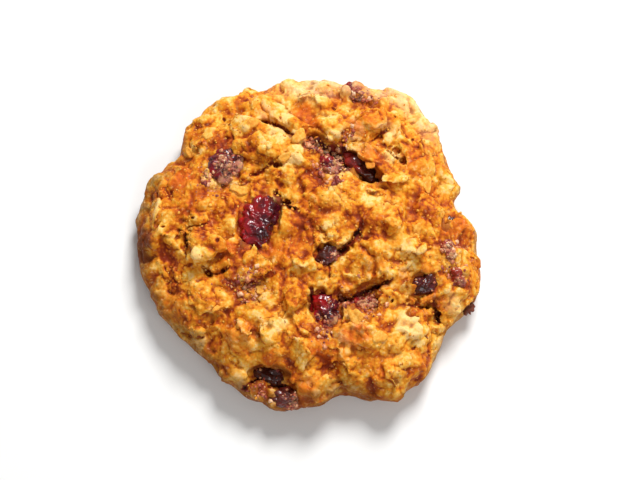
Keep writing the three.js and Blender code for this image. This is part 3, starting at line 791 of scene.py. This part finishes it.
def piece(name, shape, material, attributes):
    """A smooth mesh of its own, with values at its points for its material to read."""
    mesh = mesh_of(shape, name)
    for key, values in attributes.items():
        layer = mesh.attributes.new(key, "FLOAT", "POINT")
        layer.data.foreach_set("value", np.asarray(values, np.float32))
    mesh.polygons.foreach_set("use_smooth", [True] * len(mesh.polygons))
    mesh.materials.append(material)
    obj = linked(name, mesh)
    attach(obj, "root")
    return obj


def crust_masks(shape):
    """What the crust's material reads at each point."""
    points = shape.points
    normals = point_normals(shape)
    edges = edges_of(shape)
    relief = {name: sunken(points, normals, edges, rounds) for name, rounds in RELIEF_ROUNDS.items()}
    tree = tree_of(whole)
    tones = np.concatenate([[0.5], rng.random(len(oats) + len(crumbs))])
    nearest = np.array([tree.find_nearest(p)[2] for p in points])
    owner = owners[nearest]
    hollow, facing = ground.nearest(points)
    angles = np.arctan2(points[:, 1], points[:, 0])
    inside = outline_at(angles) - np.hypot(points[:, 0], points[:, 1])
    # Painted shade on the rim turned away from the light, and painted light on the rim turned towards it.
    rim_shade = smoothstep(np.cos(angles - RIM_SHADE_SIDE), *RIM_SHADE_SPREAD)
    rim_light = smoothstep(np.cos(angles - RIM_LIGHT_SIDE), *RIM_LIGHT_SPREAD)
    return {
        "tone": tones[owner],
        **relief,
        "hollow": hollow,
        "crown": facing[:, 2],
        "stain": np.exp(-((berry_distance(points) / JUICE_REACH) ** 2)),
        "rim_shade": smoothstep(inside, *RIM_SHADE_BAND) * rim_shade,
        "rim_light": smoothstep(inside, *RIM_LIGHT_BAND) * rim_light,
        "toasted": blobs_at(points, TOASTED),
        "dent_shade": blobs_at(points, DENT_SHADE_PATCHES),
        "stained": blobs_at(points, STAINED),
        "pale": blobs_at(points, PALE),
        "crack": cracks_at(points),
    }


# ---------- Materials ----------
def srgb(red, green, blue):
    """A colour from its 0 to 255 values, as the shader reads it."""
    def linear(c):
        c /= 255
        return c / 12.92 if c <= 0.04045 else ((c + 0.055) / 1.055) ** 2.4
    return (linear(red), linear(green), linear(blue), 1)


class Nodes:
    """A short way to write a material's nodes: a value that is a socket is linked."""

    def __init__(self, name):
        self.material = bpy.data.materials.new(name)
        self.material.use_nodes = True
        self.tree = self.material.node_tree
        self.shader = self.tree.nodes["Principled BSDF"]

    def add(self, kind, inputs=(), **settings):
        node = self.tree.nodes.new(kind)
        for key, value in settings.items():
            setattr(node, key, value)
        for key, value in dict(inputs).items():
            self.put(node.inputs[key], value)
        return node

    def put(self, socket, value):
        if isinstance(value, bpy.types.NodeSocket):
            self.tree.links.new(value, socket)
        else:
            socket.default_value = value

    def shade(self, inputs):
        for key, value in inputs.items():
            self.put(self.shader.inputs[key], value)

    def glow(self, weight, radius, scale):
        """Light that passes through the surface and out again, redder the further it goes."""
        self.shade({"Subsurface Weight": weight, "Subsurface Radius": radius, "Subsurface Scale": scale * MM})

    def mask(self, name):
        return self.add("ShaderNodeAttribute", attribute_name=name).outputs["Fac"]

    def math(self, operation, a, b, clamp=False):
        node = self.add("ShaderNodeMath", operation=operation, use_clamp=clamp)
        self.put(node.inputs[0], a)
        self.put(node.inputs[1], b)
        return node.outputs[0]

    def between(self, value, low, high, to_low=0.0, to_high=1.0):
        """A value, or the mask of that name, moved from one range to another."""
        value = self.mask(value) if isinstance(value, str) else value
        inputs = {"Value": value, "From Min": low, "From Max": high, "To Min": to_low, "To Max": to_high}
        return self.add("ShaderNodeMapRange", inputs, interpolation_type="SMOOTHSTEP").outputs[0]

    def mix(self, share, a, b):
        node = self.add("ShaderNodeMix", data_type="RGBA", blend_type="MIX")
        for index, value in ((0, share), (6, a), (7, b)):
            self.put(node.inputs[index], value)
        return node.outputs[2]

    def noise(self, size, detail, roughness=0.55, shift=0.0):
        place = self.tree.nodes.get("place") or self.add("ShaderNodeTexCoord", name="place")
        inputs = {"Vector": place.outputs["Object"], "Scale": 1 / (size * MM), "W": shift}
        inputs.update({"Detail": detail, "Roughness": roughness})
        return self.add("ShaderNodeTexNoise", inputs, noise_dimensions="4D").outputs["Fac"]

    def grains(self, size):
        """Rounded grains of about this size, from 0 between them to 1."""
        place = self.tree.nodes["place"].outputs["Object"]
        inputs = {"Vector": place, "Scale": 1 / (size * MM), "Randomness": 1.0, "Smoothness": 0.3}
        node = self.add("ShaderNodeTexVoronoi", inputs, feature="SMOOTH_F1")
        return self.between(node.outputs["Distance"], 0.1, 0.8, 1, 0)

    def ramp(self, value, stops):
        node = self.add("ShaderNodeValToRGB", {"Fac": value})
        elements = node.color_ramp.elements
        while len(elements) < len(stops):
            elements.new(0.5)
        for element, (position, colour) in zip(elements, stops):
            element.position = position
            element.color = colour
        return node.outputs["Color"]

    def bump(self, height, distance, normal=None):
        inputs = {"Height": height, "Distance": distance * MM, "Strength": 1.0}
        node = self.add("ShaderNodeBump", inputs)
        if normal is not None:
            self.put(node.inputs["Normal"], normal)
        return node.outputs["Normal"]


CRUST_COLOURS = [
    (0.0, (128, 42, 12)),
    (0.2, (177, 78, 14)),
    (0.42, (212, 121, 20)),
    (0.62, (229, 151, 36)),
    (0.82, (238, 180, 76)),
    (1.0, (244, 200, 124)),
]


def crust_colour(n, value):
    return n.ramp(value, [(place, srgb(*colour)) for place, colour in CRUST_COLOURS])


def crust_material():
    n = Nodes("crust")
    value = n.between("tone", 0, 1, 0.53, 0.71)
    for size, shift, height in ((8.0, 0, 0.25), (3.2, 1, 0.28), (1.2, 3, 0.13), (0.5, 6, 0.03)):
        patch = n.between(n.noise(size, 2, shift=shift), 0.3, 0.7, -height, height)
        value = n.math("ADD", value, patch)
    grains = n.grains(0.8)
    # Painted shade between the grains and painted light on their tops.
    value = n.math("ADD", value, n.between(grains, 0.2, 0.9, -0.08, 0.05))
    value = n.math("ADD", value, n.between("pale", 0, 1, 0, 0.3))
    # Painted shade where the skin lies below its surroundings and painted light where it rises above them, at
    # three sizes.
    value = n.math("ADD", value, n.between("fine", -0.08, 0.08, 0.05, -0.05))
    value = n.math("ADD", value, n.between("mid", -0.25, 0.25, 0.06, -0.06))
    value = n.math("ADD", value, n.between("broad", -0.6, 0.6, 0.05, -0.16), clamp=True)
    colour = crust_colour(n, value)
    colour = n.mix(n.between("pale", 0.5, 1, 0, 0.32), colour, srgb(248, 218, 154))
    toast = n.math("MAXIMUM", n.between(n.noise(4.2, 3, shift=11), 0.56, 0.72, 0, 0.5), n.mask("toasted"))
    toast = n.math("MULTIPLY", toast, n.between(n.noise(1.3, 3, shift=12), 0.3, 0.6, 0.45, 0.95))
    colour = n.mix(toast, colour, srgb(212, 100, 20))
    # The sides and the underside go olive brown: painted shade on the sides, which turn away from the light,
    # and the baked brown of the underside.
    side = n.between("crown", 0.6, 0.0)
    colour = n.mix(n.math("MULTIPLY", side, 0.75), colour, srgb(152, 88, 32))
    # Painted shade on the rim that turns away from the light.
    patches = n.between(n.noise(2.0, 2, shift=17), 0.3, 0.65, 0.35, 0.75)
    colour = n.mix(n.math("MULTIPLY", n.mask("rim_shade"), patches), colour, srgb(122, 62, 12))
    # Painted light on the rim that turns towards it.
    patches = n.between(n.noise(2.6, 2, shift=18), 0.35, 0.65, 0.2, 0.7)
    colour = n.mix(n.math("MULTIPLY", n.mask("rim_light"), patches), colour, srgb(244, 208, 156))
    # Painted shade in the creases, weaker on the underside.
    above = n.between("crown", -0.9, -0.4, 0.15, 0.6)
    colour = n.mix(n.math("MULTIPLY", n.between("mid", 0.03, 0.28), above), colour, srgb(130, 46, 10))
    # Painted shade of the dent in the left rim.
    colour = n.mix(n.between("dent_shade", 0.2, 0.8, 0, 0.85), colour, srgb(112, 50, 20))
    # Painted shade in the hollows, darkest in the deepest ones.
    valley = n.between("hollow", 0.2, 1.2)
    colour = n.mix(n.math("MULTIPLY", valley, 0.5), colour, srgb(138, 46, 12))
    deep = n.between("broad", 0.25, 1.1)
    colour = n.mix(n.math("MULTIPLY", deep, 0.75), colour, srgb(92, 16, 6))
    # Painted shade in the cracks and holes, near black where they are deep.
    cleft = n.mix(n.between("crack", 0.4, 1.2), srgb(118, 32, 10), srgb(44, 8, 4))
    colour = n.mix(n.between("crack", 0.1, 0.55, 0, 0.95), colour, cleft)
    # Small dark dots: painted shade of tiny pits.
    specks = n.between(n.noise(0.9, 2, shift=15), 0.65, 0.72, 0, 0.4)
    colour = n.mix(specks, colour, srgb(104, 34, 12))
    flour = n.between(n.noise(0.8, 2, shift=16), 0.58, 0.7, 0, 0.22)
    colour = n.mix(flour, colour, srgb(250, 208, 150))
    blotches = n.between(n.noise(1.0, 3, shift=13), 0.4, 0.62, 0.15, 1.0)
    stain = n.math("MAXIMUM", n.math("MULTIPLY", n.mask("stain"), 0.5), n.mask("stained"))
    colour = n.mix(n.math("MULTIPLY", stain, blotches), colour, srgb(134, 42, 32))
    colour = n.mix(n.between("stained", 1.0, 1.6, 0, 0.9), colour, srgb(62, 18, 20))
    n.shade({
        "Base Color": colour,
        "Roughness": n.between(n.noise(0.7, 2, shift=7), 0.35, 0.65, 0.42, 0.75),
        "Specular IOR Level": 0.14,
        "Normal": n.bump(n.noise(0.5, 4, 0.6, shift=5), 0.17, normal=n.bump(grains, 0.08)),
    })
    n.glow(0.25, (1.0, 0.45, 0.15), 1.0)
    return n.material


def berry_material():
    n = Nodes("cranberry")
    patches = n.between(n.noise(2.2, 3, shift=2), 0.3, 0.7, -0.25, 0.25)
    value = n.math("ADD", patches, n.mask("red"), clamp=True)
    colour = n.ramp(value, [
        (0.0, srgb(44, 15, 20)),
        (0.35, srgb(74, 14, 26)),
        (0.7, srgb(138, 15, 25)),
        (1.0, srgb(180, 28, 28)),
    ])
    grit = n.math("ADD", n.noise(0.7, 3, 0.5, shift=8), n.between("dust", 0, 1, -0.3, 0.16))
    grit = n.between(grit, 0.4, 0.66)
    crumb = n.mix(n.between(n.noise(1.6, 2, shift=9), 0.35, 0.65), srgb(184, 116, 100), srgb(210, 158, 104))
    colour = n.mix(n.math("MULTIPLY", grit, 0.85), colour, crumb)
    colour = n.mix(n.mask("baked"), colour, srgb(118, 58, 34))
    gloss = n.between(n.noise(1.1, 2, shift=9), 0.3, 0.7, 0.1, 0.3)
    dull = n.math("MAXIMUM", grit, n.mask("baked"))
    n.shade({
        "Base Color": colour,
        "Roughness": n.math("MAXIMUM", gloss, n.math("MULTIPLY", dull, 0.75)),
        "Normal": n.bump(n.noise(0.45, 3, 0.6, shift=4), 0.08),
        "Specular IOR Level": 0.25,
        "Coat Weight": n.between(dull, 0, 1, 0.6, 0),
        "Coat Roughness": 0.06,
    })
    n.glow(0.25, (1.0, 0.15, 0.1), 1.0)
    return n.material


# ---------- The pieces ----------
looks = crust_masks(skin)
crust = piece("crust", skin, crust_material(), looks)
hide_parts("dough")


# ---------- Loose oats and crumbs ----------
skin_tree = tree_of(skin)


def oat_material():
    n = Nodes("oats")
    value = n.between("tone", 0, 1, 0.4, 0.74)
    for size, shift, height in ((2.2, 1, 0.14), (0.6, 3, 0.14)):
        value = n.math("ADD", value, n.between(n.noise(size, 2, shift=shift), 0.3, 0.7, -height, height))
    n.shade({
        "Base Color": n.mix(0.15, crust_colour(n, value), srgb(232, 178, 108)),
        "Roughness": 0.65,
        "Specular IOR Level": 0.14,
        "Normal": n.bump(n.noise(0.4, 3, 0.6, shift=5), 0.2),
    })
    n.glow(0.12, (1.0, 0.45, 0.15), 0.8)
    return n.material


def stained_crumb_material():
    n = Nodes("berry_crumbs")
    patches = n.between(n.noise(0.4, 2, shift=3), 0.3, 0.7, -0.2, 0.2)
    value = n.math("ADD", n.mask("tone"), patches, clamp=True)
    colour = n.ramp(value, [
        (0.0, srgb(112, 30, 28)),
        (0.35, srgb(168, 78, 54)),
        (0.75, srgb(214, 142, 92)),
        (1.0, srgb(238, 190, 150)),
    ])
    n.shade({"Base Color": colour, "Roughness": 0.5})
    n.glow(0.3, (1.0, 0.4, 0.3), 0.6)
    return n.material


def scattered(name, shapes, tones, material):
    """Many small shapes as one piece, with each one's own tone."""
    sizes = [len(s.points) for s in shapes]
    piece(name, joined(shapes)[0], material, {"tone": np.repeat(tones, sizes)})


def on_crown(point, normal, hollow, reach):
    return point[2] > LOWEST_OAT and free_of_berries(0.5)(point, normal, hollow, reach)


def loose_oats(material):
    lengths = rng.uniform(*OAT_LENGTH, OATS)
    shapes = laid_flakes(NUBS, skin_tree, thickness=1.0, lift=0.1)
    for point, normal, reach in spaced(rng, ground, lengths / 2, on_crown, spacing=0.9):
        flake = oat_flake(rng, 2 * reach, 2 * reach * rng.uniform(0.65, 0.9), rng.uniform(0.6, 0.8), 18)
        met = np.array(skin_tree.find_nearest(point)[0])
        sink = rng.uniform(0.1, 0.3)
        shapes.append(stood(rng, flake, met, normal, lean=0.22, sink=sink))
    tones = np.concatenate([rng.uniform(0.7, 1, len(NUBS)), rng.random(len(shapes) - len(NUBS))])
    scattered("oats", shapes, tones, material)


def dropped(spots):
    """Where things that fall at these XY spots meet the crown, and its normals there."""
    hits = [met_from_above(skin_tree, x, y)[0] for x, y in spots]
    points = np.array([hit for hit in hits if hit and hit.z > LOWEST_CRUMB])
    return list(zip(points, ground.nearest(points)[1]))


def crumb_places():
    """Where crumbs lie on the crust: anywhere, and in a row along each crack."""
    normals = ground.nearest(skin.points)[1]
    # Crumbs keep off the rim's painted shade and off the painted shade of the dent in it.
    golden = (looks["rim_shade"] < 0.3) & (looks["dent_shade"] < 0.3) & (skin.points[:, 2] > LOWEST_CRUMB)
    free = np.flatnonzero(golden & (normals[:, 2] > 0.5) & (berry_distance(skin.points) > 0.8))
    places = [(skin.points[i], normals[i]) for i in rng.choice(free, CRUMBS, replace=False)]
    spots = []
    for width, _, line in CRACKS:
        for start, end in zip(line, line[1:]):
            count = int(CRACK_CRUMBS * math.dist(start, end)) + 1
            along = np.subtract(end, start) * rng.random((count, 1))
            spots += list(start + along + rng.normal(0, 0.5 + 0.4 * width, (count, 2)))
    return places + dropped(spots)


def stain_places():
    """Where crumbs stained by juice lie on the crust."""
    spots = []
    for x, y, radius, strength in STAINED:
        count = int(STAINED_CRUMBS * min(strength, 1) * radius ** 2)
        spots += list(rng.normal((x, y), 0.5 * radius, (count, 2)))
    return dropped(spots)


def berry_crumb_places():
    """Where crumbs lie on the berries that they coat."""
    places = []
    for shape, dust in berry_skins:
        facing = point_normals(shape)
        coated = np.flatnonzero((facing[:, 2] > 0.1) & (dust > rng.random(len(dust))))
        count = min(len(coated), int(BERRY_CRUMBS * len(coated) / len(shape.points)))
        places += [(shape.points[i], facing[i]) for i in rng.choice(coated, count, replace=False)]
    return places


def loose_crumbs(name, places, sizes, material):
    ball = unit_ball(2)
    shapes = []
    for point, normal in places:
        size = skewed(rng, sizes, 2)
        crumb = granule(rng, ball, size)
        sink = rng.uniform(0.1, 0.3) * size
        shapes.append(stood(rng, crumb, point, normal, lean=0.6, sink=sink))
    scattered(name, shapes, rng.random(len(shapes)), material)


# ---------- Berry skins ----------
def berry_skin(berry):
    """A dried berry's skin: rounded folds with sharp creases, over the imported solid."""
    ball = unit_ball(6 if berry.size.max() > 10 else 5)
    tree = tree_of(berry.shape)
    swell = RIM_BERRY_SWELL if berry.on_rim else BERRY_SWELL
    points = []
    for direction in ball.points:
        hit = tree.ray_cast(Vector(berry.middle), Vector(direction))[0]
        out = hit - Vector(berry.middle)
        lift = swell
        for size, highest, mean, height in BERRY_FOLDS:
            lift += height * (min(highest, abs(wavy(hit / size))) - mean)
        points.append(hit + out.normalized() * lift)
    return Shape(points, ball.faces)


def berry_piece(berry, material):
    shape = berry_skin(berry)
    red, dust = berry.red, berry.dust
    place = (shape.points - berry.middle) / berry.size
    patch = np.array([noise.noise(Vector(p) / 2.5) for p in shape.points])
    masks = {
        "red": red - 0.7 * place[:, 0] * (red > 0.3) * (1 - dust) + 0.2 * place[:, 1],
        "dust": np.clip(dust + (dust > 0.1) * (0.7 * place[:, 0] - 0.4 * place[:, 1] + 0.6 * patch), 0, 1),
        "baked": np.full(len(patch), berry.baked),
    }
    fruit = piece(berry.name + "_skin", shape, material, masks)
    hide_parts(berry.name)
    return shape, masks["dust"]


fruit_material = berry_material()
berry_skins = [berry_piece(berry, fruit_material) for berry in BERRIES]
oat_skin = oat_material()
loose_oats(oat_skin)
loose_crumbs("crumbs", crumb_places(), CRUMB_SIZE, oat_skin)
juicy = stained_crumb_material()
loose_crumbs("berry_crumbs", berry_crumb_places(), BERRY_CRUMB_SIZE, juicy)
loose_crumbs("stained_crumbs", stain_places(), STAINED_CRUMB_SIZE, juicy)


# ---------- Floor, light and camera ----------
def stage_floor():
    n = Nodes("floor")
    n.shade({"Base Color": (0.86, 0.86, 0.85, 1), "Roughness": 0.9})
    corners = [(x * FLOOR_REACH, y * FLOOR_REACH, 0) for x, y in ((-1, -1), (1, -1), (1, 1), (-1, 1))]
    floor = linked("floor", mesh_of(Shape(corners, [(0, 1, 2, 3)]), "floor"))
    floor.data.materials.append(n.material)


def area_light(name, place, size, power):
    """A round light that faces the cookie."""
    data = bpy.data.lights.new(name, "AREA")
    data.shape = "DISK"
    data.size = size * MM
    data.energy = power
    lamp = linked(name, data)
    lamp.location = Vector(place) * MM
    aim = (Vector(COOKIE_POINT) - Vector(place)).to_track_quat("-Z", "Y")
    lamp.rotation_euler = aim.to_euler()


def studio():
    area_light("key", **KEY_LIGHT)
    area_light("fill", **FILL_LIGHT)
    world = bpy.data.worlds.new("studio")
    world.use_nodes = True
    background = world.node_tree.nodes["Background"]
    background.inputs["Color"].default_value = (1, 1, 1, 1)
    background.inputs["Strength"].default_value = SKY_LIGHT
    bpy.context.scene.world = world
    bpy.context.scene.view_settings.view_transform = "Standard"


def camera():
    right = Vector((1, 0, 0))
    up = Vector((0, math.sin(CAMERA_ELEVATION), math.cos(CAMERA_ELEVATION)))
    back = Vector((0, -math.cos(CAMERA_ELEVATION), math.sin(CAMERA_ELEVATION)))
    across = (PHOTO_CENTRE[0] - COOKIE_PIXEL[0]) * MM_PER_PIXEL
    above = (COOKIE_PIXEL[1] - PHOTO_CENTRE[1]) * MM_PER_PIXEL
    aim = Vector(COOKIE_POINT) + across * right + above * up
    distance = LENS / SENSOR * PHOTO_WIDTH * MM_PER_PIXEL
    data = bpy.data.cameras.new("camera")
    data.lens = LENS
    data.sensor_width = SENSOR
    data.clip_start = 0.01
    obj = linked("camera", data)
    obj.location = (aim + distance * back) * MM
    obj.rotation_euler = (-back).to_track_quat("-Z", "Y").to_euler()
    bpy.context.scene.camera = obj


stage_floor()
studio()
camera()
